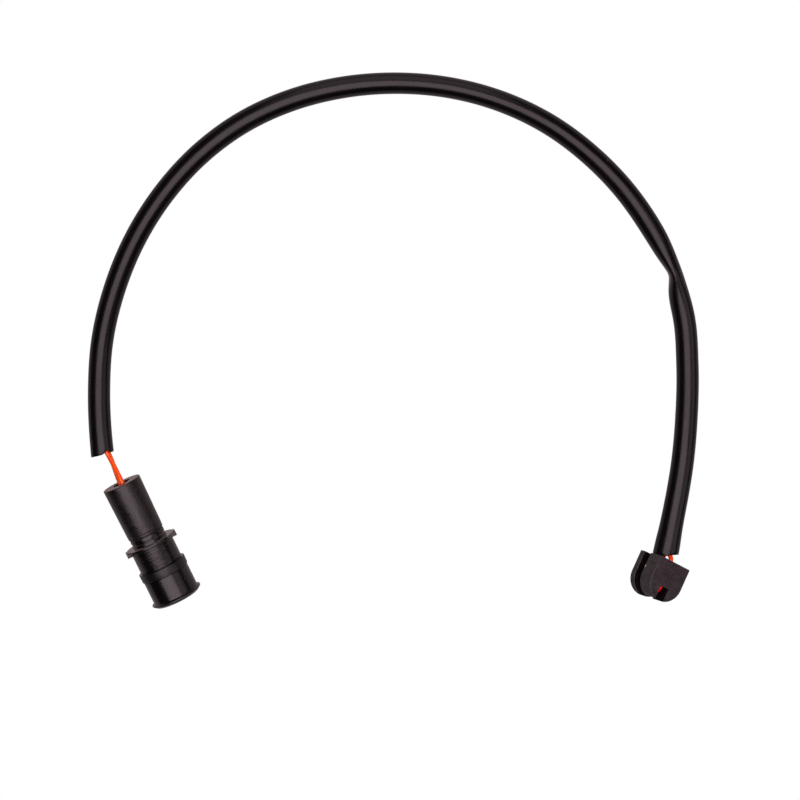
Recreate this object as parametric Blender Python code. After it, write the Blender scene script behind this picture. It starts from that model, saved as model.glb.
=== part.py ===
"""Brake pad wear sensor: a slotted head that clips onto a brake pad, a sensing wire looped through
it, a loose protective sleeve over the wire, and a round two-pin connector. It lies on a table.
Metres, +Z up. The origin is on the table under the middle of the sensor head, and the connector's
mouth looks along -Y."""
import math

import bmesh
import bpy
from mathutils import Euler, Vector

MM = 0.001
GAP = 0.3 * MM  # air between pieces that touch on the real object

# Sensor head: one moulding, a block and a back plate of the same D outline with a groove between
HEAD_WIDTH = 10.6 * MM
HEAD_HEIGHT = 11.6 * MM
BLOCK_THICKNESS = 5.6 * MM
GROOVE_WIDTH = 3.2 * MM
PLATE_THICKNESS = 2.3 * MM
GROOVE_DEPTH = 2.2 * MM
GROOVE_TOP_DEPTH = 0.8 * MM
HEAD_CHAMFER = 0.12 * MM
SLOT_WIDTH = 2.7 * MM
SLOT_HEIGHT = 4.1 * MM
HEAD_ARC_STEPS = 18
HEAD_YAW = -50.5
HEAD_PITCH = -15.3
HEAD_ROLL = 18.3

# Sensing wire: one insulated wire, down the head's front hole, across its slot and up the back one;
# both holes lean a little to one side
WIRE_DIAMETER = 1.35 * MM
WIRE_HOLE_DIAMETER = 1.95 * MM
FRONT_LEG_DEPTH = 2.3 * MM
LEG_SPACING = 4.1 * MM
HOLE_LEAN = 0.45 * MM
LOOP_DROP = 0.2 * MM
LOOP_DEPTH = 1.6 * MM
STACK_SPACING = 1.57 * MM

# Protective sleeve: a loose tube, oval in its bend, kinked near the head and cut by hand, with a nick
# over the wires at its connector end and a slanting cut that rests against the head at the other
SLEEVE_DIAMETER = 6.25 * MM
SLEEVE_WALL = 0.6 * MM
CROWN_FLATTENING = 0.4 * MM
CROWN_PLACE = 170.0 * MM
CROWN_LENGTH = 45.0 * MM
HEAD_END_SPREAD = 0.35 * MM
HEAD_END_LENGTH = 45.0 * MM
HEAD_END_FLARE = 0.75 * MM
FLARE_LENGTH = 6.0 * MM
CONNECTOR_END_SPREAD = 0.35 * MM
KINK_PLACE = 249.0 * MM
KINK_DEPTH = 2.3 * MM
KINK_BEFORE = 6.6 * MM
KINK_AFTER = 4.2 * MM
CONNECTOR_END_SLANT = 10.0
NICK_DEPTH = 0.9 * MM
NICK_PLACE = 54.0
NICK_WIDTH = 16.0
HEAD_END_GAP = 0.28 * MM
HEAD_END_TOP = 0.95 * MM
HEAD_END_TOP_SLANT = 1.8 * MM
HEAD_END_BOTTOM = 0.8 * MM
HEAD_END_BOTTOM_SLANT = 2.5 * MM
SLEEVE_STEP = 5.4 * MM
STEP_TURN = 14.0
SLEEVE_SIDES = 16

# Connector body: one turned-looking moulding with a socket in front and a cavity behind
CONNECTOR_PLACE = (-126.49 * MM, 86.4 * MM)
LUG_ROLL = -13.7
SPIGOT_DIAMETER = 8.0 * MM
SPIGOT_LENGTH = 8.5 * MM
CAVITY_DIAMETER = 6.6 * MM
CAVITY_DEPTH = 12.5 * MM
NECK_DIAMETER = 10.2 * MM
NECK_GROOVE_DEPTH = 0.25 * MM
NECK_GROOVE_WIDTH = 0.3 * MM
NECK_BAND = 1.2 * MM
NECK_LENGTH = 2.4 * MM
FLANGE_DIAMETER = 14.6 * MM
FLANGE_THICKNESS = 0.65 * MM
LUG_REACH = 7.6 * MM
LUG_WIDTH = 3.2 * MM
LUG_THICKNESS = 1.6 * MM
MIDDLE_DIAMETER = 12.45 * MM
MIDDLE_LENGTH = 6.8 * MM
RING_DIAMETER = 13.95 * MM
RING_LENGTH = 2.45 * MM
FRONT_DIAMETER = 13.35 * MM
FRONT_LENGTH = 7.1 * MM
LIP_DIAMETER = 14.8 * MM
LIP_THICKNESS = 0.3 * MM
NOSE_LENGTH = 0.75 * MM
NOSE_DIAMETER = 12.9 * MM
SOCKET_DIAMETER = 11.4 * MM
SOCKET_DEPTH = 10.0 * MM
TURNED_STEPS = 48

# Rear cap: a cup pushed over the body's spigot, with a hole for the grommet
CAP_REAR_DIAMETER = 11.1 * MM
CAP_FRONT_DIAMETER = 10.5 * MM
CAP_LENGTH = 15.7 * MM
CAP_END_WALL = 2.5 * MM
CAP_HOLE_DIAMETER = 5.0 * MM
CAP_EDGE = 0.25 * MM

# Grommet: a rubber plug in the cap's hole with one oval opening for both wires
GROMMET_RECESS = 0.5 * MM
GROMMET_COLLAR = 1.5 * MM
PAIR_OFFSET = (0.45 * MM, 0.70 * MM)

# Contact pins: turned brass, a crimp barrel behind and a round pin in the socket
PIN_SPACING = 3.2 * MM
PIN_DIAMETER = 1.5 * MM
PIN_REACH = 5.4 * MM
PIN_TIP = 0.3 * MM
BARREL_DIAMETER = 2.5 * MM
BARREL_LENGTH = 5.2 * MM
BARREL_BORE_DEPTH = 3.6 * MM
WIRE_IN_BARREL = 3.2 * MM
PIN_STEPS = 16

# The sleeve's middle line from the connector end to the head end, read from the photograph
SLEEVE_ROUTE_MM = [
    (-128.49, 95.54, 3.7), (-127.34, 98.75, 3.4), (-121.49, 112.25, 3.05), (-114.19, 124.95, 3.0),
    (-104.89, 136.25, 3.0), (-93.99, 146.05, 3.0), (-81.59, 153.95, 3.0), (-67.99, 159.65, 3.0),
    (-53.59, 162.65, 3.0), (-38.79, 162.65, 3.0), (-24.39, 159.95, 3.0), (-10.69, 154.95, 3.0),
    (2.01, 147.85, 3.0), (13.41, 138.55, 3.0), (22.81, 127.45, 3.0), (30.01, 114.55, 3.0),
    (34.91, 100.75, 3.0), (36.41, 93.55, 3.0), (36.95, 89.86, 3.0), (37.29, 86.15, 3.0),
    (37.33, 82.45, 3.0), (37.19, 78.75, 3.0), (36.99, 75.15, 3.0), (36.69, 71.55, 3.0),
    (36.28, 67.88, 3.0), (35.69, 64.25, 3.0), (31.11, 50.45, 3.0), (25.21, 37.25, 3.0),
    (18.21, 24.35, 3.4), (14.16, 18.15, 4.1), (9.81, 12.05, 5.25), (6.31, 7.29, 6.5),
    (4.31, 4.6, 7.25),
]
# The wires cross the sleeve's middle line just inside its connector end, and pass beside the kink
CONNECTOR_END_SHIFT = 1.62 * MM
CONNECTOR_CROSSING = 3.6 * MM
CONNECTOR_SHIFT_LENGTH = 11.0 * MM
KINK_SHIFT = -0.9 * MM
HEAD_GATHER = 0.5
HEAD_GATHER_LENGTH = 5.0 * MM

for old in list(bpy.data.objects):
    bpy.data.objects.remove(old, do_unlink=True)


def material(name, colour, roughness, metallic=0.0):
    made = bpy.data.materials.new(name)
    made.use_nodes = True
    shader = made.node_tree.nodes["Principled BSDF"]
    shader.inputs["Base Color"].default_value = (*colour, 1.0)
    shader.inputs["Roughness"].default_value = roughness
    shader.inputs["Metallic"].default_value = metallic
    made.diffuse_color = (*colour, 1.0)
    return made


def new_object(name, data, surface=None):
    """Puts the data in the scene under that name, with its material."""
    made = bpy.data.objects.new(name, data)
    bpy.context.scene.collection.objects.link(made)
    if surface:
        data.materials.append(surface)
    return made


def mesh_object(name, shape, surface=None, smooth_angle=35):
    """Turns a bmesh into a named object, with round faces shaded smooth."""
    bmesh.ops.recalc_face_normals(shape, faces=shape.faces[:])
    data = bpy.data.meshes.new(name)
    shape.to_mesh(data)
    shape.free()
    data.shade_smooth()
    data.set_sharp_from_angle(angle=math.radians(smooth_angle))
    return new_object(name, data, surface)


def frame(name, place, turn):
    """An empty that carries the pieces of one housing."""
    made = bpy.data.objects.new(name, None)
    bpy.context.scene.collection.objects.link(made)
    made.location = place
    made.rotation_mode = turn.order
    made.rotation_euler = turn
    return made


def turned(name, profile, steps, surface, parent, offset=(0.0, 0.0)):
    """Spins a profile of (along, radius) points about the connector's own axis."""
    shape = bmesh.new()
    points = [shape.verts.new((offset[0] + r, offset[1], along)) for along, r in profile]
    edges = [shape.edges.new(pair) for pair in zip(points, points[1:])]
    if profile[0][1] > 0:
        edges.append(shape.edges.new((points[-1], points[0])))
    bmesh.ops.spin(shape, geom=points + edges, cent=(*offset, 0), axis=(0, 0, 1),
                   angle=math.tau, steps=steps, use_merge=True)
    bmesh.ops.remove_doubles(shape, verts=shape.verts[:], dist=MM / 1000)
    made = mesh_object(name, shape, surface)
    made.parent = parent
    return made


def cutter(name, shape, parent):
    """A cutter object that the build leaves out."""
    made = mesh_object(name, shape)
    made.parent = parent
    made.hide_render = True
    made.display_type = "WIRE"
    return made


def combine(target, other, operation):
    change = target.modifiers.new(other.name, "BOOLEAN")
    change.operation = operation
    change.solver = "EXACT"
    change.object = other


def rod(radius, start, end, sides=16):
    """A straight round bar between two points."""
    shape = bmesh.new()
    start, end = Vector(start), Vector(end)
    bmesh.ops.create_cone(shape, cap_ends=True, segments=sides, radius1=radius, radius2=radius,
                          depth=(end - start).length)
    turn = (end - start).to_track_quat("Z", "Y").to_matrix()
    bmesh.ops.rotate(shape, verts=shape.verts[:], cent=(0, 0, 0), matrix=turn)
    bmesh.ops.translate(shape, verts=shape.verts[:], vec=(start + end) / 2)
    return shape


def block(low, high):
    """A rectangular bar between two corners."""
    shape = bmesh.new()
    bmesh.ops.create_cube(shape, size=1.0)
    low, high = Vector(low), Vector(high)
    bmesh.ops.scale(shape, verts=shape.verts[:], vec=high - low)
    bmesh.ops.translate(shape, verts=shape.verts[:], vec=(low + high) / 2)
    return shape


def heading(before, here, after):
    """The direction of a smooth curve as it passes one point of a route."""
    in_length = (here - before).length
    out_length = (after - here).length
    arriving = (here - before) / in_length * out_length
    leaving = (after - here) / out_length * in_length
    return (arriving + leaving) / (in_length + out_length)


def smooth_line(route, step):
    """Points about one step apart, closer in a bend, on a smooth curve through the route's points."""
    route = [Vector(p) for p in route]
    ends = [2 * route[0] - route[1]] + route + [2 * route[-1] - route[-2]]
    line = [route[0]]
    for before, a, b, after in zip(ends, ends[1:], ends[2:], ends[3:]):
        length = (b - a).length
        start_bend = heading(before, a, b) * length
        end_bend = heading(a, b, after) * length
        turn = math.degrees(start_bend.angle(b - a) + end_bend.angle(b - a))
        count = max(1, round(length / step), round(turn / STEP_TURN))
        for i in range(1, count + 1):
            t = i / count
            line.append((2 * t**3 - 3 * t**2 + 1) * a + (t**3 - 2 * t**2 + t) * start_bend
                        + (3 * t**2 - 2 * t**3) * b + (t**3 - t**2) * end_bend)
    return line


def lengths_along(line):
    total = [0.0]
    for a, b in zip(line, line[1:]):
        total.append(total[-1] + (b - a).length)
    return total


def bump(distance, before, after):
    """A smooth hump, 1 at distance 0, with its own length on each side."""
    return math.exp(-(abs(distance) / (before if distance < 0 else after)) ** 1.5)


black_plastic = material("black_plastic", (0.020, 0.018, 0.018), 0.42)
grey_plastic = material("grey_plastic", (0.045, 0.040, 0.042), 0.75)
sleeve_black = material("sleeve_black", (0.012, 0.010, 0.011), 0.38)
wire_orange = material("wire_orange", (0.95, 0.11, 0.01), 0.35)
rubber = material("rubber", (0.010, 0.010, 0.010), 0.80)
brass = material("brass", (0.72, 0.50, 0.20), 0.30, 1.0)

# Sensor head
HEAD_THICKNESS = BLOCK_THICKNESS + GROOVE_WIDTH + PLATE_THICKNESS
BEND_TOP = HEAD_HEIGHT - SLOT_HEIGHT + LOOP_DROP
head_turn = Euler([math.radians(a) for a in (HEAD_PITCH, HEAD_ROLL, HEAD_YAW)], "YXZ")


def d_outline(inset, top_inset):
    """The head's outline, from its straight top down to the half circle, in the head's own frame."""
    radius = HEAD_WIDTH / 2 - inset
    middle = HEAD_WIDTH / 2 - HEAD_HEIGHT
    points = [(radius, -top_inset)]
    for i in range(HEAD_ARC_STEPS + 1):
        angle = math.pi * i / HEAD_ARC_STEPS
        points.append((radius * math.cos(angle), middle - radius * math.sin(angle)))
    points.append((-radius, -top_inset))
    return points


HEAD_LEVELS = [
    (0.0, HEAD_CHAMFER, HEAD_CHAMFER),
    (-HEAD_CHAMFER, 0.0, 0.0),
    (-BLOCK_THICKNESS, 0.0, 0.0),
    (-BLOCK_THICKNESS, GROOVE_DEPTH, GROOVE_TOP_DEPTH),
    (-BLOCK_THICKNESS - GROOVE_WIDTH, GROOVE_DEPTH, GROOVE_TOP_DEPTH),
    (-BLOCK_THICKNESS - GROOVE_WIDTH, 0.0, 0.0),
    (HEAD_CHAMFER - HEAD_THICKNESS, 0.0, 0.0),
    (-HEAD_THICKNESS, HEAD_CHAMFER, HEAD_CHAMFER),
]
head_rings = [[Vector((x, y, level)) for x, y in d_outline(inset, top)]
              for level, inset, top in HEAD_LEVELS]
# The head lies on its lowest corner, with the middle of its box over the origin
head_corners = [head_turn.to_matrix() @ p for ring in head_rings for p in ring]
head_low = [min(p[i] for p in head_corners) for i in range(3)]
head_high = [max(p[i] for p in head_corners) for i in range(3)]
head_place = Vector((-(head_low[0] + head_high[0]) / 2, -(head_low[1] + head_high[1]) / 2, -head_low[2]))
head_up = head_turn.to_matrix() @ Vector((0, 1, 0))
head_frame = frame("head_frame", head_place, head_turn)


def hole_lean(down):
    """How far to the side a wire hole is at a depth below the head's top."""
    return -HOLE_LEAN * (1 - down / BEND_TOP)


def sensor_head():
    shape = bmesh.new()
    rings = [[shape.verts.new(p) for p in ring] for ring in head_rings]
    for upper, lower in zip(rings, rings[1:]):
        for i in range(len(upper)):
            j = (i + 1) % len(upper)
            shape.faces.new((upper[i], upper[j], lower[j], lower[i]))
    shape.faces.new(rings[0])
    shape.faces.new(rings[-1])
    head = mesh_object("sensor_head", shape, grey_plastic)
    head.parent = head_frame
    slot = block((-SLOT_WIDTH / 2, -HEAD_HEIGHT - MM, -BLOCK_THICKNESS - GROOVE_WIDTH),
                 (SLOT_WIDTH / 2, SLOT_HEIGHT - HEAD_HEIGHT, MM))
    combine(head, cutter("slot_cutter", slot, head_frame), "DIFFERENCE")
    back_depth = FRONT_LEG_DEPTH + LEG_SPACING
    for name, depth in (("front_hole_cutter", FRONT_LEG_DEPTH), ("back_hole_cutter", back_depth)):
        hole = rod(WIRE_HOLE_DIAMETER / 2, (hole_lean(-MM), MM, -depth),
                   (hole_lean(BEND_TOP), -BEND_TOP, -depth))
        combine(head, cutter(name, hole, head_frame), "DIFFERENCE")
    return head


sensor_head()

# Connector body, in a frame of its own: x to its right, y up and z towards its mouth
connector_frame = frame("connector_frame", (*CONNECTOR_PLACE, LIP_DIAMETER / 2),
                        Euler((math.pi / 2, 0, 0), "XYZ"))
NECK_START = CAP_LENGTH + GAP
SPIGOT_START = NECK_START - SPIGOT_LENGTH
FLANGE_START = NECK_START + NECK_LENGTH
MIDDLE_START = FLANGE_START + FLANGE_THICKNESS
RING_START = MIDDLE_START + MIDDLE_LENGTH
FRONT_START = RING_START + RING_LENGTH
LIP_START = FRONT_START + FRONT_LENGTH
MOUTH = LIP_START + LIP_THICKNESS + NOSE_LENGTH
SOCKET_FLOOR = MOUTH - SOCKET_DEPTH
CAVITY_FLOOR = SPIGOT_START + CAVITY_DEPTH


def connector_body():
    groove = NECK_START + NECK_BAND
    neck = NECK_DIAMETER / 2
    profile = [
        (CAVITY_FLOOR, 0.0),
        (CAVITY_FLOOR, CAVITY_DIAMETER / 2),
        (SPIGOT_START, CAVITY_DIAMETER / 2),
        (SPIGOT_START, SPIGOT_DIAMETER / 2),
        (NECK_START, SPIGOT_DIAMETER / 2),
        (NECK_START, neck),
        (groove, neck),
        (groove, neck - NECK_GROOVE_DEPTH),
        (groove + NECK_GROOVE_WIDTH, neck - NECK_GROOVE_DEPTH),
        (groove + NECK_GROOVE_WIDTH, neck),
        (FLANGE_START, neck),
        (FLANGE_START, FLANGE_DIAMETER / 2),
        (MIDDLE_START, FLANGE_DIAMETER / 2),
        (MIDDLE_START, MIDDLE_DIAMETER / 2),
        (RING_START, MIDDLE_DIAMETER / 2),
        (RING_START, RING_DIAMETER / 2),
        (FRONT_START, RING_DIAMETER / 2),
        (FRONT_START, FRONT_DIAMETER / 2),
        (LIP_START - LIP_THICKNESS, FRONT_DIAMETER / 2),
        (LIP_START, LIP_DIAMETER / 2),
        (LIP_START + LIP_THICKNESS, LIP_DIAMETER / 2),
        (MOUTH, NOSE_DIAMETER / 2),
        (MOUTH, SOCKET_DIAMETER / 2),
        (SOCKET_FLOOR, SOCKET_DIAMETER / 2),
        (SOCKET_FLOOR, 0.0),
    ]
    body = turned("connector_body", profile, TURNED_STEPS, black_plastic, connector_frame)
    for side in (-1, 1):
        foot = side * (SPIGOT_DIAMETER / 2 + GAP)
        lug = block((min(foot, side * LUG_REACH), -LUG_WIDTH / 2, FLANGE_START),
                    (max(foot, side * LUG_REACH), LUG_WIDTH / 2, FLANGE_START + LUG_THICKNESS))
        lug_shape = cutter(f"lug_shape_{side + 1}", lug, connector_frame)
        lug_shape.rotation_euler = (0, 0, math.radians(LUG_ROLL))
        combine(body, lug_shape, "UNION")
        x = side * PIN_SPACING / 2
        hole = rod(PIN_DIAMETER / 2 + GAP, (x, 0, CAVITY_FLOOR - MM), (x, 0, SOCKET_FLOOR + MM))
        combine(body, cutter(f"pin_hole_cutter_{side + 1}", hole, connector_frame), "DIFFERENCE")
    return body


def connector_rear_cap():
    bore = SPIGOT_DIAMETER / 2 + GAP
    profile = [
        (0.0, CAP_HOLE_DIAMETER / 2),
        (0.0, CAP_REAR_DIAMETER / 2 - CAP_EDGE),
        (CAP_EDGE, CAP_REAR_DIAMETER / 2),
        (CAP_LENGTH - CAP_EDGE, CAP_FRONT_DIAMETER / 2),
        (CAP_LENGTH, CAP_FRONT_DIAMETER / 2 - CAP_EDGE),
        (CAP_LENGTH, bore),
        (CAP_END_WALL, bore),
        (CAP_END_WALL, CAP_HOLE_DIAMETER / 2),
    ]
    return turned("connector_rear_cap", profile, TURNED_STEPS, black_plastic, connector_frame)


def wire_grommet():
    collar = CAP_END_WALL + GAP
    profile = [
        (GROMMET_RECESS, 0.0),
        (GROMMET_RECESS, CAP_HOLE_DIAMETER / 2 - GAP),
        (collar, CAP_HOLE_DIAMETER / 2 - GAP),
        (collar, SPIGOT_DIAMETER / 2),
        (collar + GROMMET_COLLAR, SPIGOT_DIAMETER / 2),
        (collar + GROMMET_COLLAR, 0.0),
    ]
    grommet = turned("wire_grommet", profile, TURNED_STEPS // 2, rubber, connector_frame)
    opening = bmesh.new()
    for side in (-1, 1):
        end = Vector((side * PAIR_OFFSET[0], side * PAIR_OFFSET[1], 0))
        for i in range(16):
            angle = math.tau * i / 16
            rim = WIRE_HOLE_DIAMETER / 2 * Vector((math.cos(angle), math.sin(angle), 0))
            for along in (0.0, collar + GROMMET_COLLAR + MM):
                opening.verts.new(end + rim + Vector((0, 0, along)))
    bmesh.ops.convex_hull(opening, input=opening.verts[:])
    combine(grommet, cutter("wire_opening_cutter", opening, connector_frame), "DIFFERENCE")
    return grommet


BARREL_END = CAVITY_FLOOR - GAP
BARREL_START = BARREL_END - BARREL_LENGTH


def contact_pin(name, x):
    tip = SOCKET_FLOOR + PIN_REACH
    bore = WIRE_HOLE_DIAMETER / 2
    profile = [
        (BARREL_START + BARREL_BORE_DEPTH, 0.0),
        (BARREL_START + BARREL_BORE_DEPTH, bore),
        (BARREL_START, bore),
        (BARREL_START, BARREL_DIAMETER / 2),
        (BARREL_END, BARREL_DIAMETER / 2),
        (BARREL_END, PIN_DIAMETER / 2),
        (tip - PIN_TIP, PIN_DIAMETER / 2),
        (tip, PIN_DIAMETER / 2 - PIN_TIP),
        (tip, 0.0),
    ]
    return turned(name, profile, PIN_STEPS, brass, connector_frame, (x, 0.0))


connector_body()
connector_rear_cap()
wire_grommet()
contact_pin("contact_pin_left", -PIN_SPACING / 2)
contact_pin("contact_pin_right", PIN_SPACING / 2)

# Protective sleeve: one ring of points for each station along its middle line
sleeve_line = smooth_line([Vector(p) * MM for p in SLEEVE_ROUTE_MM], SLEEVE_STEP)
sleeve_along = lengths_along(sleeve_line)
SLEEVE_LENGTH = sleeve_along[-1]


def directions(line, i):
    """The line's direction at a station, the level direction to its right, and the one above."""
    ahead = (line[min(i + 1, len(line) - 1)] - line[max(i - 1, 0)]).normalized()
    right = ahead.cross(Vector((0, 0, 1))).normalized()
    return ahead, right, right.cross(ahead)


def kink(along):
    return bump(along - KINK_PLACE, KINK_BEFORE, KINK_AFTER)


def sleeve_spread(along):
    """How much wider the sleeve is than a round one: less in its bend, more at its ends."""
    left = SLEEVE_LENGTH - along
    return (CONNECTOR_END_SPREAD * math.exp(-along / FLARE_LENGTH / 2)
            + HEAD_END_SPREAD * math.exp(-((left / HEAD_END_LENGTH) ** 2))
            - CROWN_FLATTENING * math.exp(-(((along - CROWN_PLACE) / CROWN_LENGTH) ** 2)))


def sleeve_size(along):
    """The sleeve's width and height: a squeezed tube grows taller, and its head end flares."""
    flare = HEAD_END_FLARE * math.exp(-(((SLEEVE_LENGTH - along) / FLARE_LENGTH) ** 2))
    width = SLEEVE_DIAMETER + sleeve_spread(along) + flare
    height = SLEEVE_DIAMETER - sleeve_spread(along) + flare + KINK_DEPTH * kink(along) / 2
    return width, height


def head_end_distance(angle):
    """How far from the head's top the sleeve is cut, at an angle round it: least on one side."""
    if math.sin(angle) > 0:
        return max(HEAD_END_GAP, HEAD_END_TOP - HEAD_END_TOP_SLANT * math.cos(angle))
    return max(HEAD_END_GAP, HEAD_END_BOTTOM - HEAD_END_BOTTOM_SLANT * math.cos(angle))


def sleeve_ring(i, wall):
    along = sleeve_along[i]
    ahead, right, above = directions(sleeve_line, i)
    width, height = sleeve_size(along)
    half_width = width / 2 - wall
    half_height = height / 2 - wall
    lift = max(0.0, height / 2 - sleeve_line[i].z)
    ring = []
    for k in range(SLEEVE_SIDES):
        angle = math.tau * k / SLEEVE_SIDES
        sideways = half_width * math.cos(angle)
        sideways -= KINK_DEPTH * kink(along) * ((1 + math.cos(angle)) / 2) ** 2
        upward = half_height * math.sin(angle)
        slide = 0.0
        if i == 0:
            from_nick = (math.degrees(angle) - NICK_PLACE) / NICK_WIDTH
            slide = sideways * math.tan(math.radians(CONNECTOR_END_SLANT))
            slide += NICK_DEPTH * math.exp(-from_nick**2)
        point = sleeve_line[i] + right * sideways + above * upward + Vector((0, 0, lift))
        if i == len(sleeve_line) - 1:
            slide = ((point - head_place).dot(head_up) - head_end_distance(angle)) / -ahead.dot(head_up)
        ring.append(point + ahead * slide)
    return ring


def protective_sleeve():
    shape = bmesh.new()
    stations = range(len(sleeve_line))
    loops = [[shape.verts.new(p) for p in sleeve_ring(i, 0.0)] for i in stations]
    loops += [[shape.verts.new(p) for p in sleeve_ring(i, SLEEVE_WALL)] for i in reversed(stations)]
    for a, b in zip(loops, loops[1:] + loops[:1]):
        for k in range(SLEEVE_SIDES):
            j = (k + 1) % SLEEVE_SIDES
            shape.faces.new((a[k], a[j], b[j], b[k]))
    return mesh_object("protective_sleeve", shape, sleeve_black)


protective_sleeve()


# Sensing wire: from the left contact through the lower half of the sleeve to the head, and back
def in_connector(x, y, along):
    return Vector((CONNECTOR_PLACE[0] + x, CONNECTOR_PLACE[1] - along, LIP_DIAMETER / 2 + y))


def in_head(down, depth):
    return head_place + head_turn.to_matrix() @ Vector((hole_lean(min(down, BEND_TOP)), -down, -depth))


def leg_in_connector(side):
    """Out of the crimp barrel, in at the oval opening and out behind. side is -1 for the lower leg."""
    x, y = side * PAIR_OFFSET[0], side * PAIR_OFFSET[1]
    spread = side * PIN_SPACING / 2
    return [
        in_connector(spread, 0, BARREL_START + WIRE_IN_BARREL),
        in_connector(spread, 0, BARREL_START + WIRE_IN_BARREL / 2),
        in_connector(spread, 0, BARREL_START),
        in_connector((spread + x) / 2, y / 2, (BARREL_START + CAP_END_WALL) / 2),
        in_connector(x, y, CAP_END_WALL + GROMMET_COLLAR),
        in_connector(x, y, CAP_END_WALL / 2),
        in_connector(x, y, 0),
    ]


def leg_in_sleeve(side, gate):
    """The stations of one leg, above or below the sleeve's middle line, turning to its hole in the head."""
    leg = []
    to_gate = gate - sleeve_line[-1]
    for i, along in enumerate(sleeve_along):
        if i % 2 and i > 1 and SLEEVE_LENGTH - along > 4 * SLEEVE_STEP:
            continue
        ahead, right, above = directions(sleeve_line, i)
        shift = (CONNECTOR_END_SHIFT * (1 - along / CONNECTOR_CROSSING)
                 * math.exp(-((along / CONNECTOR_SHIFT_LENGTH) ** 2))
                 + KINK_SHIFT * bump(along - KINK_PLACE, 2 * KINK_BEFORE, 2 * KINK_AFTER))
        gather = HEAD_GATHER * math.exp(-(((SLEEVE_LENGTH - along) / HEAD_GATHER_LENGTH) ** 2))
        stacked = right * shift + above * side * STACK_SPACING / 2
        gathered = right * to_gate.dot(right) + above * to_gate.dot(above)
        leg.append(sleeve_line[i] + stacked.lerp(gathered, gather))
    return leg


def wire_route():
    """The whole route, down the lower leg, round the loop in the head and back along the upper leg."""
    back_depth = FRONT_LEG_DEPTH + LEG_SPACING
    bend = [in_head(BEND_TOP + LOOP_DEPTH * math.sin(a),
                    FRONT_LEG_DEPTH + LEG_SPACING / 2 * (1 + math.cos(a)))
            for a in [math.pi * i / 6 for i in range(7)]]
    downs = (-WIRE_DIAMETER / 2, 2 * WIRE_DIAMETER, BEND_TOP - WIRE_DIAMETER)
    lower_end = [in_head(down, back_depth) for down in downs]
    upper_end = [in_head(down, FRONT_LEG_DEPTH) for down in reversed(downs)]
    lower_leg = leg_in_connector(-1) + leg_in_sleeve(-1, lower_end[0])
    upper_leg = leg_in_connector(1) + leg_in_sleeve(1, upper_end[-1])
    return lower_leg + lower_end + bend + upper_end + upper_leg[::-1]


def sensing_wire():
    line = smooth_line(wire_route(), 2 * SLEEVE_STEP)
    data = bpy.data.curves.new("sensing_wire", "CURVE")
    data.dimensions = "3D"
    data.bevel_depth = WIRE_DIAMETER / 2
    data.bevel_resolution = 2
    data.use_fill_caps = True
    spline = data.splines.new("POLY")
    spline.points.add(len(line) - 1)
    for point, place in zip(spline.points, line):
        point.co = (*place, 1.0)
    return new_object("sensing_wire", data, wire_orange)


sensing_wire()
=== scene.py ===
import math

import bmesh
import bpy
from mathutils import Euler, Matrix, Vector


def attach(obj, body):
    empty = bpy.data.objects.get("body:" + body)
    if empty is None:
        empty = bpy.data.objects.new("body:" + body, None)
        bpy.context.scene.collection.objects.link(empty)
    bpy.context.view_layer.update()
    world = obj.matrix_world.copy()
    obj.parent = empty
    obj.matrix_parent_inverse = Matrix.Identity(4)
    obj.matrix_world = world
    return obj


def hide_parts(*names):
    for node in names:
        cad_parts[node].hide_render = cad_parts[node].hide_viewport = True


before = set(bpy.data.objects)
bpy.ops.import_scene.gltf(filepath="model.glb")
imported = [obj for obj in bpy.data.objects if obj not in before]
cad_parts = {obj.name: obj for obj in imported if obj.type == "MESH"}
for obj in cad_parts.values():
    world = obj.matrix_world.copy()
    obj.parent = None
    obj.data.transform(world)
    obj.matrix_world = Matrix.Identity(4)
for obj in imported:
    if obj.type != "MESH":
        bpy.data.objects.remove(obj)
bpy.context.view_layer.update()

# Named lengths are in mm and angles in degrees; MM turns a length into metres
MM = 0.001


# Sensor head: a small block and a thin plate of the same D outline, moulded in one piece of dark grey
# plastic with a fine grain. The edge of a brake pad's plate slides into the groove between them. Two
# bores and a slot from below hold the wire's loop.
HEAD_RADIUS = 5.28
HEAD_CORNER = 0.22
ARC_CENTRE = 6.3
FRONT = -0.02
GROOVE_FRONT = -5.6
GROOVE_BACK = -8.8
GROOVE_DEPTH = 2.2
GROOVE_TOP = 0.8
REAR = -11.08
SLOT_TOP = 7.5
SLOT_BOTTOM = 13
SLOT_WIDTH = 2.7
BORE_RADIUS = 0.975
BORE_LEAN = 0.45
FRONT_LEG = 2.3
LEG_SPACING = 4.1
BEND_TOP = 7.7
# A small tan spot in the groove, on the block's back edge, and its size.
TAN_SPOT = (-5.2, -4.1, -5.6)
TAN_SPOT_RADIUS = 0.48
head_turn = Euler([math.radians(a) for a in (-15.3, 18.3, -50.5)], "YXZ").to_matrix()
head_place = Vector((5.526, 2.031, 11.702))


def head_point(x, y, z):
    """A point given in mm in the head's own frame: across, up towards the sleeve, out of its front."""
    return (head_place + head_turn @ Vector((x, y, z))) * MM


def in_head(down, depth):
    """A point of the wire in the head; both its holes lean a little to one side."""
    lean = -BORE_LEAN * (1 - min(down, BEND_TOP) / BEND_TOP)
    return head_point(lean, -down, -depth)


def place_mesh(name, shape, surface, sharp=40):
    """Makes an object of a bmesh whose points are already in the row frame."""
    bmesh.ops.recalc_face_normals(shape, faces=shape.faces[:])
    data = bpy.data.meshes.new(name)
    shape.to_mesh(data)
    shape.free()
    data.shade_smooth()
    data.set_sharp_from_angle(angle=math.radians(sharp))
    data.materials.append(surface)
    made = bpy.data.objects.new(name, data)
    bpy.context.scene.collection.objects.link(made)
    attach(made, "root")
    return made


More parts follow.
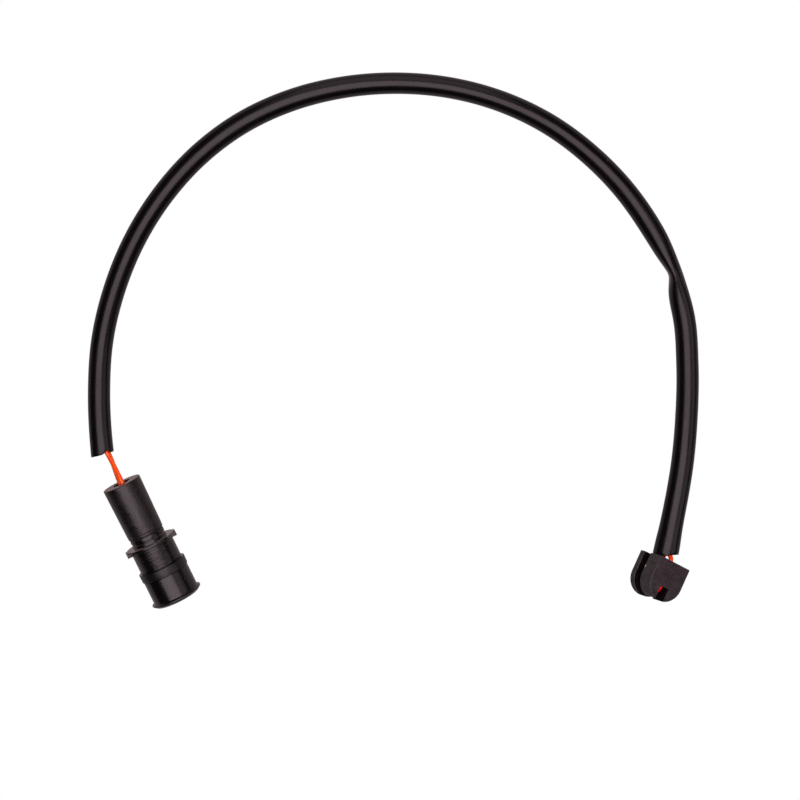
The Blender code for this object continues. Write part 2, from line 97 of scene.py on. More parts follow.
def skin(shape, rings, closed=False):
    """Extrudes a ring of points from place to place; closed welds the last ring to the first."""
    first = [shape.verts.new(p) for p in rings[0]]
    for pair in zip(first, first[1:] + first[:1]):
        shape.edges.new(pair)
    ring = first
    for places in rings[1:] + (rings[:1] if closed else []):
        edges = [shape.edges.get(pair) for pair in zip(ring, ring[1:] + ring[:1])]
        grown = bmesh.ops.extrude_edge_only(shape, edges=edges)["geom"]
        new = {v for v in grown if isinstance(v, bmesh.types.BMVert)}
        ring = [next(e.other_vert(v) for e in v.link_edges if e.other_vert(v) in new) for v in ring]
        for v, place in zip(ring, places):
            v.co = place
    if closed:
        bmesh.ops.weld_verts(shape, targetmap=dict(zip(ring, first)))
    else:
        rims = [e for e in shape.edges if e.is_boundary]
        bmesh.ops.holes_fill(shape, edges=rims, sides=0)


def soften(profile, steps=4):
    """Rounds the corners of a profile; the last number of each is its rounding."""
    points = []
    count = len(profile)
    for i, corner in enumerate(profile):
        rounding = corner[-1]
        here = Vector(corner[:-1])
        before = Vector(profile[i - 1][:-1])
        after = Vector(profile[(i + 1) % count][:-1])
        if rounding == 0:
            points.append(here)
            continue
        into = (before - here).normalized() * min(rounding, (before - here).length * 0.45)
        out = (after - here).normalized() * min(rounding, (after - here).length * 0.45)
        for k in range(steps + 1):
            t = k / steps
            points.append(here + into * (1 - t) ** 2 + out * t ** 2)
    return points


def bake(made):
    """Puts what the modifiers make into the mesh itself."""
    graph = bpy.context.evaluated_depsgraph_get()
    data = bpy.data.meshes.new_from_object(made.evaluated_get(graph))
    made.modifiers.clear()
    made.data = data


def carve(made, cutters):
    """Cuts each bmesh out of the object."""
    helpers = []
    for shape in cutters:
        bmesh.ops.recalc_face_normals(shape, faces=shape.faces[:])
        data = bpy.data.meshes.new("cut")
        shape.to_mesh(data)
        shape.free()
        helper = bpy.data.objects.new("cut", data)
        bpy.context.scene.collection.objects.link(helper)
        helpers.append(helper)
        change = made.modifiers.new("cut", "BOOLEAN")
        change.operation = "DIFFERENCE"
        change.solver = "EXACT"
        change.object = helper
    bake(made)
    for helper in helpers:
        bpy.data.objects.remove(helper, do_unlink=True)


def new_material(name):
    """Starts a material; gives it with its nodes, its links and its surface shader."""
    made = bpy.data.materials.new(name)
    made.use_nodes = True
    nodes = made.node_tree.nodes
    return made, nodes, made.node_tree.links, nodes["Principled BSDF"]


def noise(nodes, links, source, scale, detail=3.0, roughness=0.5):
    """A cloudy pattern between 0 and 1."""
    made = nodes.new("ShaderNodeTexNoise")
    made.inputs["Scale"].default_value = scale
    made.inputs["Detail"].default_value = detail
    made.inputs["Roughness"].default_value = roughness
    links.new(source, made.inputs["Vector"])
    return made.outputs["Fac"]


def ramp(nodes, links, source, stops):
    """Turns a pattern into other values or colours by stops of a place and a value."""
    made = nodes.new("ShaderNodeValToRGB")
    elements = made.color_ramp.elements
    while len(elements) < len(stops):
        elements.new(0.5)
    for element, (place, value) in zip(elements, stops):
        element.position = place
        element.color = (*value, 1.0) if isinstance(value, tuple) else (value, value, value, 1.0)
    links.new(source, made.inputs["Fac"])
    return made.outputs["Color"]


def math_node(nodes, links, operation, a, b=0.0, c=0.0):
    """One sum of numbers or of patterns."""
    made = nodes.new("ShaderNodeMath")
    made.operation = operation
    for socket, value in zip(made.inputs, (a, b, c)):
        if isinstance(value, (int, float)):
            socket.default_value = value
        else:
            links.new(value, socket)
    return made.outputs["Value"]


def mixed(nodes, links, fac, a, b):
    """Colour a where the mask is 0 and colour b where it is 1."""
    made = nodes.new("ShaderNodeMix")
    made.data_type = "RGBA"
    for socket, value in ((made.inputs["Factor"], fac), (made.inputs[6], a), (made.inputs[7], b)):
        if isinstance(value, tuple):
            socket.default_value = (*value, 1.0)
        elif isinstance(value, (int, float)):
            socket.default_value = value
        else:
            links.new(value, socket)
    return made.outputs[2]


def coordinates(nodes):
    """Each point's place in metres."""
    return nodes.new("ShaderNodeTexCoord").outputs["Object"]


def new_group(name, inputs, outputs):
    """Starts a node group; its inputs and outputs are names with their kinds."""
    made = bpy.data.node_groups.new(name, "ShaderNodeTree")
    for label, kind in inputs.items():
        made.interface.new_socket(label, in_out="INPUT", socket_type="NodeSocket" + kind)
    for label, kind in outputs.items():
        made.interface.new_socket(label, in_out="OUTPUT", socket_type="NodeSocket" + kind)
    given = made.nodes.new("NodeGroupInput").outputs
    result = made.nodes.new("NodeGroupOutput").inputs
    return made, made.nodes, made.links, given, result


def place_group(nodes, links, group, **given):
    """Puts a node group in a material, each of its inputs linked or set."""
    made = nodes.new("ShaderNodeGroup")
    made.node_tree = group
    for label, value in given.items():
        if isinstance(value, bpy.types.NodeSocket):
            links.new(value, made.inputs[label])
        else:
            made.inputs[label].default_value = value
    return made.outputs


def dust_group():
    """Small dots of dust: cells of a pattern, of which only a share carry one."""
    made, nodes, links, given, result = new_group(
        "dust_specks",
        {"Place": "Vector", "Scale": "Float", "Size": "Float", "Share": "Float"},
        {"Mask": "Float"},
    )
    cells = nodes.new("ShaderNodeTexVoronoi")
    links.new(given["Place"], cells.inputs["Vector"])
    links.new(given["Scale"], cells.inputs["Scale"])
    dot = nodes.new("ShaderNodeMapRange")
    dot.inputs["To Min"].default_value = 1.0
    dot.inputs["To Max"].default_value = 0.0
    links.new(cells.outputs["Distance"], dot.inputs["Value"])
    links.new(math_node(nodes, links, "MULTIPLY", given["Size"], 0.6), dot.inputs["From Min"])
    links.new(given["Size"], dot.inputs["From Max"])
    parts = nodes.new("ShaderNodeSeparateColor")
    links.new(cells.outputs["Color"], parts.inputs["Color"])
    chosen = math_node(nodes, links, "LESS_THAN", parts.outputs["Red"], given["Share"])
    links.new(math_node(nodes, links, "MULTIPLY", dot.outputs["Result"], chosen), result["Mask"])
    return made


def grain_group():
    """Fine grain: a pattern, and the normal of the relief that it gives a surface."""
    made, nodes, links, given, result = new_group(
        "fine_grain",
        {"Place": "Vector", "Scale": "Float", "Detail": "Float", "Roughness": "Float",
         "Strength": "Float", "Distance": "Float", "Normal": "Vector"},
        {"Pattern": "Float", "Normal": "Vector"},
    )
    pattern = nodes.new("ShaderNodeTexNoise")
    links.new(given["Place"], pattern.inputs["Vector"])
    for label in ("Scale", "Detail", "Roughness"):
        links.new(given[label], pattern.inputs[label])
    relief = nodes.new("ShaderNodeBump")
    links.new(pattern.outputs["Fac"], relief.inputs["Height"])
    for label in ("Strength", "Distance", "Normal"):
        links.new(given[label], relief.inputs[label])
    links.new(pattern.outputs["Fac"], result["Pattern"])
    links.new(relief.outputs["Normal"], result["Normal"])
    return made


dust_dots = dust_group()
grain_relief = grain_group()


def specks(nodes, links, place, scale, size, share):
    """A mask of a few small dots of dust."""
    return place_group(nodes, links, dust_dots, Place=place, Scale=scale, Size=size, Share=share)["Mask"]


def fine_grain(nodes, links, place, scale, detail, roughness, strength, distance, normal=None):
    """The grain's pattern and normal; it lies on another relief where that one's normal is given."""
    if normal is None:
        normal = nodes.new("ShaderNodeNewGeometry").outputs["Normal"]
    made = place_group(nodes, links, grain_relief, Place=place, Scale=scale, Detail=detail,
                       Roughness=roughness, Strength=strength, Distance=distance, Normal=normal)
    return made["Pattern"], made["Normal"]


def head_material():
    """Fine-grained grey black moulding with a dull skin, browned in patches, a tan spot; painted
    highlight on rounded edges, paler painted sides, painted shade in groove and slot.
    """
    made, nodes, links, shader = new_material("head_grey_moulding")
    place = coordinates(nodes)
    grain, normal = fine_grain(nodes, links, place, 2300.0, 3.0, 0.6, 0.8, 0.00012)
    patch = noise(nodes, links, place, 330.0, 4.0, 0.6)
    tone = math_node(nodes, links, "ADD", math_node(nodes, links, "MULTIPLY", grain, 0.5),
                     math_node(nodes, links, "MULTIPLY", patch, 0.5))
    base = mixed(nodes, links, ramp(nodes, links, tone, [(0.42, 0.0), (0.58, 1.0)]),
                 (0.0035, 0.0022, 0.0026), (0.0290, 0.0200, 0.0218))
    dust = specks(nodes, links, place, 1500.0, 0.16, 0.16)
    dusty = math_node(nodes, links, "MULTIPLY", dust, 0.35)
    base = mixed(nodes, links, dusty, base, (0.10, 0.088, 0.085))
    # Painted highlight: the rounded edges of front and back are painted paler, and the flat sides a
    # little paler too.
    painted_light_share = nodes.new("ShaderNodeAttribute")
    painted_light_share.attribute_name = "painted_light_share"
    uneven = ramp(nodes, links, noise(nodes, links, place, 900.0, 3.0), [(0.35, 0.25), (0.6, 1.0)])
    lit_share = math_node(nodes, links, "MULTIPLY", painted_light_share.outputs["Fac"], uneven)
    painted_light_mix = math_node(nodes, links, "MULTIPLY", lit_share, 0.5)
    base = mixed(nodes, links, painted_light_mix, base, (0.115, 0.105, 0.108))
    # Painted shade: faces in the groove and in the slot are painted near black.
    painted_shade = nodes.new("ShaderNodeAttribute")
    painted_shade.attribute_name = "painted_shade"
    shaded = math_node(nodes, links, "MULTIPLY", painted_shade.outputs["Fac"], 0.85)
    base = mixed(nodes, links, shaded, base, (0.003, 0.002, 0.002))
    # A small tan spot painted on the block's back edge in the groove.
    tan_spot = nodes.new("ShaderNodeVectorMath")
    tan_spot.operation = "DISTANCE"
    links.new(place, tan_spot.inputs[0])
    tan_spot.inputs[1].default_value = head_point(*TAN_SPOT)
    near = math_node(nodes, links, "LESS_THAN", tan_spot.outputs["Value"], TAN_SPOT_RADIUS * MM)
    base = mixed(nodes, links, near, base, (0.80, 0.56, 0.32))
    links.new(base, shader.inputs["Base Color"])
    # The painted shade also takes shine away in the groove and the slot.
    shine = math_node(nodes, links, "MULTIPLY_ADD", painted_shade.outputs["Fac"], -0.42, 0.45)
    links.new(shine, shader.inputs["Specular IOR Level"])
    links.new(ramp(nodes, links, patch, [(0.3, 0.60), (0.75, 0.74)]), shader.inputs["Roughness"])
    links.new(normal, shader.inputs["Normal"])
    return made


def sensor_head():
    """The D outline at each depth, then the slot, the bores and the face marks for the painted edge
    highlight, the paler painted sides and the painted shade.
    """
    def outline(inset, top):
        radius = HEAD_RADIUS - inset
        corner = HEAD_CORNER
        right_corner = [(radius - corner + corner * math.sin(a), -top - corner + corner * math.cos(a))
                        for a in [math.pi / 2 * i / 5 for i in range(6)]]
        arc = [(radius * math.cos(math.pi * i / 72), -ARC_CENTRE - radius * math.sin(math.pi * i / 72))
               for i in range(73)]
        return right_corner + arc + [(-x, y) for x, y in reversed(right_corner)]

    levels = soften([
        (FRONT, 1.0, 1.0, 0), (FRONT, 0.0, 0.0, 0.2),
        (GROOVE_FRONT, 0.0, 0.0, 0.2), (GROOVE_FRONT, GROOVE_DEPTH, GROOVE_TOP, 0.12),
        (GROOVE_BACK, GROOVE_DEPTH, GROOVE_TOP, 0.12), (GROOVE_BACK, 0.0, 0.0, 0.2),
        (REAR, 0.0, 0.0, 0.2), (REAR, 1.0, 1.0, 0),
    ])
    shape = bmesh.new()
    skin(shape, [[head_point(x, y, z) for x, y in outline(inset, top)] for z, inset, top in levels])
    made = place_mesh("head_moulding", shape, head_grey, 30)
    slot = bmesh.new()
    bmesh.ops.create_cube(slot, size=1.0)
    for v in slot.verts:
        height = -SLOT_TOP if v.co.y > 0 else -SLOT_BOTTOM
        v.co = head_point(v.co.x * SLOT_WIDTH, height, 1 if v.co.z > 0 else GROOVE_BACK)
    cutters = [slot]
    for depth in (FRONT_LEG, FRONT_LEG + LEG_SPACING):
        bore = bmesh.new()
        bmesh.ops.create_cone(bore, cap_ends=True, cap_tris=False, segments=40,
                              radius1=BORE_RADIUS, radius2=BORE_RADIUS, depth=1.0)
        for v in bore.verts:
            middle = in_head(-1.0 if v.co.z > 0 else BEND_TOP, depth)
            v.co = middle + head_turn @ Vector((v.co.x, 0, v.co.y)) * MM
        cutters.append(bore)
    carve(made, cutters)
    made.data.shade_smooth()
    made.data.set_sharp_from_angle(angle=math.radians(30))
    painted_light_share = made.data.attributes.new("painted_light_share", "FLOAT", "FACE")
    turn_back = head_turn.transposed()
    painted_shade = made.data.attributes.new("painted_shade", "FLOAT", "FACE")
    for face, lit_share, shade in zip(made.data.polygons, painted_light_share.data, painted_shade.data):
        facing = abs((turn_back @ face.normal).z)
        middle = turn_back @ (face.center / MM - head_place)
        in_slot = abs(middle.x) < SLOT_WIDTH / 2 + 0.02 and middle.y < 0.1 - SLOT_TOP and facing < 0.5
        in_groove = GROOVE_BACK - 0.02 < middle.z < GROOVE_FRONT + 0.02
        # Painted highlight share: 1 on the rounded edges, 0.3 on the flat sides, 0 on the flat front and
        # back.
        lit_share.value = 1.0 if 0.15 < facing < 0.985 else 0.3 * (facing < 0.15)
        # Painted shade on the faces in the groove and in the slot.
        shade.value = 1.0 if in_groove or in_slot else 0.0
    return made


head_grey = head_material()
head = sensor_head()
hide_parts("sensor_head")


# Protective sleeve: a soft black tube over the wire, from behind the connector to the head. It is cut
# by hand, aslant, at both ends and slightly nicked, a little oval in its long bend, and buckled at a
# kink near the head.
SLEEVE_WIDTH = 6.15
WALL = 0.6
CUT_ROUNDING = 0.09
CUT_REACH = 3
CUT_SLANT = 10
NICK_DEPTH = 0.9
NICK_PLACE = 54
NICK_WIDTH = 16
HEAD_END_GAP = 0.28
HEAD_END_TOP = (0.95, 1.8)
HEAD_END_BOTTOM = (0.68, 2.2)
HEAD_END_FLARE = 0.75
FLARE_LENGTH = 6
HEAD_END_SPREAD = 0.35
HEAD_END_LENGTH = 45
CONNECTOR_END_SPREAD = 0.35
CONNECTOR_END_LENGTH = 12
BEND_OVAL = 0.4
BEND_MIDDLE = 170
BEND_LENGTH = 45
KINK = 249.0
FOLD_DEPTH = 2.3
FOLD_BEFORE = 6.6
FOLD_AFTER = 4.2
SLEEVE_ROUTE_MM = [
    (-128.49, 95.54, 3.7), (-127.34, 98.75, 3.4), (-121.49, 112.25, 3.05), (-114.19, 124.95, 3.0),
    (-104.89, 136.25, 3.0), (-93.99, 146.05, 3.0), (-81.59, 153.95, 3.0), (-67.99, 159.65, 3.0),
    (-53.59, 162.65, 3.0), (-38.79, 162.65, 3.0), (-24.39, 159.95, 3.0), (-10.69, 154.95, 3.0),
    (2.01, 147.85, 3.0), (13.41, 138.55, 3.0), (22.81, 127.45, 3.0), (30.01, 114.55, 3.0),
    (34.91, 100.75, 3.0), (36.41, 93.55, 3.0), (36.95, 89.86, 3.0), (37.29, 86.15, 3.0),
    (37.33, 82.45, 3.0), (37.19, 78.75, 3.0), (36.99, 75.15, 3.0), (36.69, 71.55, 3.0),
    (36.28, 67.88, 3.0), (35.69, 64.25, 3.0), (31.11, 50.45, 3.0), (25.21, 37.25, 3.0),
    (18.21, 24.35, 3.4), (14.16, 18.15, 4.1), (9.81, 12.05, 5.25), (6.31, 7.29, 6.5),
    (4.31, 4.6, 7.25),
]


def heading(before, here, after):
    """The curve's direction at a point, from its neighbours, each weighed by how near it is."""
    in_length = (here - before).length
    out_length = (after - here).length
    arriving = (here - before) / in_length * out_length
    leaving = (after - here) / out_length * in_length
    return (arriving + leaving) / (in_length + out_length)


def smooth_line(route, step, turn_step=14.0):
    """Points about one step apart, closer in a bend, on a smooth curve through the route's points."""
    route = [Vector(p) for p in route]
    ends = [2 * route[0] - route[1]] + route + [2 * route[-1] - route[-2]]
    line = [route[0]]
    for before, a, b, after in zip(ends, ends[1:], ends[2:], ends[3:]):
        length = (b - a).length
        start_bend = heading(before, a, b) * length
        end_bend = heading(a, b, after) * length
        turn = math.degrees(start_bend.angle(b - a) + end_bend.angle(b - a))
        count = max(1, round(length / step), round(turn / turn_step))
        for i in range(1, count + 1):
            t = i / count
            line.append((2 * t**3 - 3 * t**2 + 1) * a + (t**3 - 2 * t**2 + t) * start_bend
                        + (3 * t**2 - 2 * t**3) * b + (t**3 - t**2) * end_bend)
    return line


def lengths_along(line):
    """How far along the line each of its points is."""
    total = [0.0]
    for a, b in zip(line, line[1:]):
        total.append(total[-1] + (b - a).length)
    return total


def hump(distance, before, after):
    """1 at the middle of the kink, fading over one length before it and another after it."""
    return math.exp(-(abs(distance) / (before if distance < 0 else after)) ** 1.5)


def directions(line, i):
    """The line's direction at a station, the level direction to its right, and the one above."""
    ahead = (line[min(i + 1, len(line) - 1)] - line[max(i - 1, 0)]).normalized()
    side = ahead.cross(Vector((0, 0, 1))).normalized()
    return ahead, side, side.cross(ahead)


sleeve_line = smooth_line(SLEEVE_ROUTE_MM, 1.3)
sleeve_along = lengths_along(sleeve_line)
SLEEVE_LENGTH = sleeve_along[-1]


def head_end_slide(point, ahead, angle, left):
    """How far a point of the last rings moves along the tube, so that its cut end fits the head."""
    head_up = head_turn @ Vector((0, 1, 0))
    at_middle, slant = HEAD_END_TOP if math.sin(angle) > 0 else HEAD_END_BOTTOM
    distance = max(HEAD_END_GAP, at_middle - slant * math.cos(angle))
    slide = ((point - head_place).dot(head_up) - distance) / -ahead.dot(head_up) - left
    return slide * max(0.0, 1 - left / CUT_REACH)


def sleeve_ring(i, wall, pull=0.0, sides=64):
    """One ring of the tube, its wall drawn in and the ring pulled back from the cut end."""
    along = sleeve_along[i]
    ahead, side, up = directions(sleeve_line, i)
    left = SLEEVE_LENGTH - along
    spread = CONNECTOR_END_SPREAD * math.exp(-along / CONNECTOR_END_LENGTH)
    spread += HEAD_END_SPREAD * math.exp(-((left / HEAD_END_LENGTH) ** 2))
    spread -= BEND_OVAL * math.exp(-(((along - BEND_MIDDLE) / BEND_LENGTH) ** 2))
    flare = HEAD_END_FLARE * math.exp(-((left / FLARE_LENGTH) ** 2))
    fold = FOLD_DEPTH * hump(along - KINK, FOLD_BEFORE, FOLD_AFTER)
    width = SLEEVE_WIDTH + spread + flare
    height = SLEEVE_WIDTH - spread + flare + fold / 2
    lift = max(0.0, height / 2 - sleeve_line[i].z)
    ring = []
    for k in range(sides):
        angle = math.tau * k / sides
        sideways = (width / 2 - wall) * math.cos(angle) - fold * ((1 + math.cos(angle)) / 2) ** 2
        upward = (height / 2 - wall) * math.sin(angle)
        point = sleeve_line[i] + side * sideways + up * upward + Vector((0, 0, lift))
        nick = NICK_DEPTH * math.exp(-(((math.degrees(angle) - NICK_PLACE) / NICK_WIDTH) ** 2))
        cut = sideways * math.tan(math.radians(CUT_SLANT)) + nick
        slide = cut * max(0.0, 1 - along / CUT_REACH) + pull * (along < 1)
        if left < CUT_REACH:
            slide = head_end_slide(point, ahead, angle, left) - pull * (left < 1)
        ring.append((point + ahead * slide) * MM)
    return ring


def protective_sleeve():
    """Rings along the outside, round the cut end, back along the bore and round the other cut end."""
    shape = bmesh.new()
    last = len(sleeve_line) - 1
    soft = CUT_ROUNDING
    outside = [sleeve_ring(0, soft), sleeve_ring(0, soft * 0.3, soft * 0.3), sleeve_ring(0, 0.0, soft)]
    outside += [sleeve_ring(i, 0.0) for i in range(1, last)]
    outside += [sleeve_ring(last, 0.0, soft), sleeve_ring(last, soft * 0.3, soft * 0.3)]
    outside.append(sleeve_ring(last, soft))
    inside = [sleeve_ring(last, WALL - soft), sleeve_ring(last, WALL, soft)]
    inside += [sleeve_ring(i, WALL) for i in range(last - 1, 0, -1)]
    inside += [sleeve_ring(0, WALL, soft), sleeve_ring(0, WALL - soft)]
    skin(shape, outside + inside, True)
    return place_mesh("sleeve_tube", shape, sleeve_black, 60)


def bump(nodes, links, height, strength, distance, normal=None):
    """The normal of a relief, on top of another relief where that one's normal is given."""
    made = nodes.new("ShaderNodeBump")
    made.inputs["Strength"].default_value = strength
    made.inputs["Distance"].default_value = distance
    links.new(height, made.inputs["Height"])
    if normal:
        links.new(normal, made.inputs["Normal"])
    return made.outputs["Normal"]


def sleeve_material():
    """Satin black tube: faint lengthwise cloudiness, a few dust specks and small dull spots."""
    made, nodes, links, shader = new_material("sleeve_black_tube")
    place = coordinates(nodes)
    cloud = noise(nodes, links, place, 140.0, 4.0)
    clouded = bump(nodes, links, cloud, 0.2, 0.0002)
    normal = fine_grain(nodes, links, place, 2600.0, 3.0, 0.5, 0.12, 0.00004, clouded)[1]
    dust = specks(nodes, links, place, 330.0, 0.10, 0.10)
    base = mixed(nodes, links, ramp(nodes, links, cloud, [(0.35, 0.0), (0.7, 1.0)]),
                 (0.0016, 0.0011, 0.0014), (0.0032, 0.0023, 0.0028))
    dusty = math_node(nodes, links, "MULTIPLY", dust, 0.55)
    base = mixed(nodes, links, dusty, base, (0.10, 0.085, 0.07))
    links.new(base, shader.inputs["Base Color"])
    rough = ramp(nodes, links, noise(nodes, links, place, 420.0, 5.0, 0.6), [(0.3, 0.22), (0.75, 0.31)])
    links.new(rough, shader.inputs["Roughness"])
    links.new(normal, shader.inputs["Normal"])
    shader.inputs["Specular IOR Level"].default_value = 0.30
    return made


sleeve_black = sleeve_material()
sleeve = protective_sleeve()
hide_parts("protective_sleeve")


# Sensing wire: one wire in glossy orange insulation, crimped into one contact, run through the sleeve,
# looped down and up through the head, and run back to the other contact. A worn pad lets the disc rub
# through its loop.
WIRE = 1.35
LOOP_DEPTH = 1.6
STATION = 5.4
STACK_SPACING = 1.57
GATHER_LENGTH = 5
KINK_SHIFT = 0.9
CONNECTOR_END_SHIFT = 1.62
CONNECTOR_CROSSING = 3.6
CONNECTOR_SHIFT_LENGTH = 11
GROMMET_SIDEWAYS = 0.45
GROMMET_UPWARD = 0.70
PIN_SPACING = 3.2
NEAR_HEAD = 13
IN_SLOT = 0.5


def connector_point(x, y, along):
    """A point given in mm in the connector's own frame: to its right, up, and towards its mouth."""
    return Vector((-126.49 + x, 86.4 - along, 7.4 + y)) * MM


def leg_in_connector(side):
    """One side of the wire from its contact back through the grommet, in mm."""
    x, y = side * GROMMET_SIDEWAYS, side * GROMMET_UPWARD
    spread = side * PIN_SPACING / 2
    stations = [(spread, 0, 17.7), (spread, 0, 16.1), (spread, 0, 14.5), ((spread + x) / 2, y / 2, 8.5),
                (x, y, 4.0), (x, y, 1.25), (x, y, 0)]
    return [connector_point(*p) / MM for p in stations]


def leg_in_sleeve(side, gate):
    """One side of the wire along the sleeve to its bore in the head, in mm."""
    leg = []
    coarse = smooth_line(SLEEVE_ROUTE_MM, STATION)
    along = lengths_along(coarse)
    to_gate = gate - coarse[-1]
    for i, s in enumerate(along):
        left = along[-1] - s
        if i % 2 and i > 1 and left > 4 * STATION:
            continue
        ahead, across, up = directions(coarse, i)
        at_cut = CONNECTOR_END_SHIFT * (1 - s / CONNECTOR_CROSSING)
        shift = at_cut * math.exp(-((s / CONNECTOR_SHIFT_LENGTH) ** 2))
        shift -= KINK_SHIFT * hump(s - KINK, 2 * FOLD_BEFORE, 2 * FOLD_AFTER)
        gather = 0.5 * math.exp(-((left / GATHER_LENGTH) ** 2))
        stacked = across * shift + up * side * STACK_SPACING / 2
        gathered = across * to_gate.dot(across) + up * to_gate.dot(up)
        leg.append(coarse[i] + stacked.lerp(gathered, gather))
    return leg


def wire_route():
    """From the left contact to the head, through its loop, and back to the right contact, in mm."""
    back = FRONT_LEG + LEG_SPACING
    bend = []
    for i in range(7):
        a = math.pi * i / 6
        depth = FRONT_LEG + LEG_SPACING / 2 * (1 + math.cos(a))
        bend.append(in_head(BEND_TOP + LOOP_DEPTH * math.sin(a), depth) / MM)
    downs = (-WIRE / 2, 2 * WIRE, BEND_TOP - WIRE)
    lower_end = [in_head(down, back) / MM for down in downs]
    upper_end = [in_head(down, FRONT_LEG) / MM for down in reversed(downs)]
    lower_leg = leg_in_connector(-1) + leg_in_sleeve(-1, lower_end[0])
    upper_leg = leg_in_connector(1) + leg_in_sleeve(1, upper_end[-1])
    return lower_leg + lower_end + bend + upper_end + upper_leg[::-1]


def sensing_wire():
    """A round wire swept along its route, whose rings never twist against each other."""
    line = smooth_line(wire_route(), 2.2, 7.0)
    shape = bmesh.new()
    loops = []
    across = Vector((1, 0, 0))
    for i in range(len(line)):
        ahead = (line[min(i + 1, len(line) - 1)] - line[max(i - 1, 0)]).normalized()
        across = (across - ahead * across.dot(ahead)).normalized()
        other = ahead.cross(across)
        loops.append([(line[i] + (across * math.cos(a) + other * math.sin(a)) * WIRE / 2) * MM
                      for a in [math.tau * k / 28 for k in range(28)]])
    skin(shape, loops)
    return place_mesh("wire_loop", shape, wire_orange), [p * MM for p in line]


def wire_material():
    """Orange insulation with a gloss skin, deeper in patches; painted shade makes it redder at the head
    and darker red, less shiny, in its slot.
    """
    made, nodes, links, shader = new_material("wire_orange_insulation")
    place = coordinates(nodes)
    cloud = noise(nodes, links, place, 700.0, 3.0)
    normal = fine_grain(nodes, links, place, 1500.0, 3.0, 0.5, 0.03, 0.00002)[1]
    base = mixed(nodes, links, ramp(nodes, links, cloud, [(0.3, 0.0), (0.7, 1.0)]),
                 (1.0, 0.058, 0.0004), (1.0, 0.085, 0.0006))
    parts = nodes.new("ShaderNodeSeparateXYZ")
    links.new(place, parts.inputs["Vector"])
    # Painted shade: the wire is painted redder near the head, and darker red with less shine in its slot.
    at_head = math_node(nodes, links, "LESS_THAN", parts.outputs["Y"], NEAR_HEAD * MM)
    base = mixed(nodes, links, at_head, base, (1.0, 0.052, 0.0006))
    in_slot = math_node(nodes, links, "LESS_THAN", parts.outputs["Y"], IN_SLOT * MM)
    base = mixed(nodes, links, in_slot, base, (0.85, 0.004, 0.001))
    links.new(base, shader.inputs["Base Color"])
    shine = math_node(nodes, links, "MULTIPLY_ADD", in_slot, -0.6, 0.9)
    links.new(shine, shader.inputs["Specular IOR Level"])
    links.new(ramp(nodes, links, cloud, [(0.3, 0.17), (0.7, 0.22)]), shader.inputs["Roughness"])
    links.new(normal, shader.inputs["Normal"])
    shader.inputs["Specular Tint"].default_value = (1.0, 0.9, 0.4, 1.0)
    return made


wire_orange = wire_material()
wire, wire_line = sensing_wire()
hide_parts("sensing_wire")


# Rear cap: a plain cup moulded in black plastic, its rear rim rounded and a hole in its end for the
# wires. It is pushed over the spigot of the connector's body, up to the neck.
REAR_FROM = 66.0
LUGS_FROM = 66.38
LUGS_OUTSIDE = 5.9
RING_SPAN = (58.1, 60.55)
BARREL_SPAN = (60.55, 67.25)


def turned(profile, steps=144, centre=(0.0, 0.0)):
    """Spins a profile of distances along, radii and roundings in mm about the connector's axis."""
    closed = profile[0][1] > 0
    outline = soften(profile)
    if not closed:
        outline = outline[1:-1]
    shape = bmesh.new()
    x, y = centre
    corners = [shape.verts.new(connector_point(x + radius, y, along)) for along, radius in outline]
    pairs = list(zip(corners, corners[1:]))
    if closed:
        pairs.append((corners[-1], corners[0]))
    edges = [shape.edges.new(pair) for pair in pairs]
    bmesh.ops.spin(shape, geom=corners + edges, cent=connector_point(x, y, 0), axis=(0, -1, 0),
                   dvec=(0, 0, 0), angle=math.tau, steps=steps, use_merge=True,
                   use_normal_flip=False, use_duplicate=False)
    if not closed:
        rims = [e for e in shape.edges if e.is_boundary]
        bmesh.ops.holes_fill(shape, edges=rims, sides=0)
    return shape


def connector_rear_cap():
    """End wall with its hole, rounded rear rim, tapering outside, thin front edge and bore."""
    shape = turned([
        (0.0, 2.5, 0.12), (0.0, 5.52, 0.26), (14.9, 5.24, 0.2), (15.1, 5.16, 0.1), (15.3, 5.22, 0.1),
        (15.7, 5.22, 0.14), (15.7, 4.3, 0.05), (2.5, 4.3, 0.1), (2.5, 2.5, 0.05),
    ])
    return place_mesh("rear_cap_cup", shape, cap_black)


def between(nodes, links, value, low, high):
    """A mask of where a place in metres lies between two limits in mm."""
    over = math_node(nodes, links, "GREATER_THAN", value, low * MM)
    under = math_node(nodes, links, "LESS_THAN", value, high * MM)
    return math_node(nodes, links, "MULTIPLY", over, under)


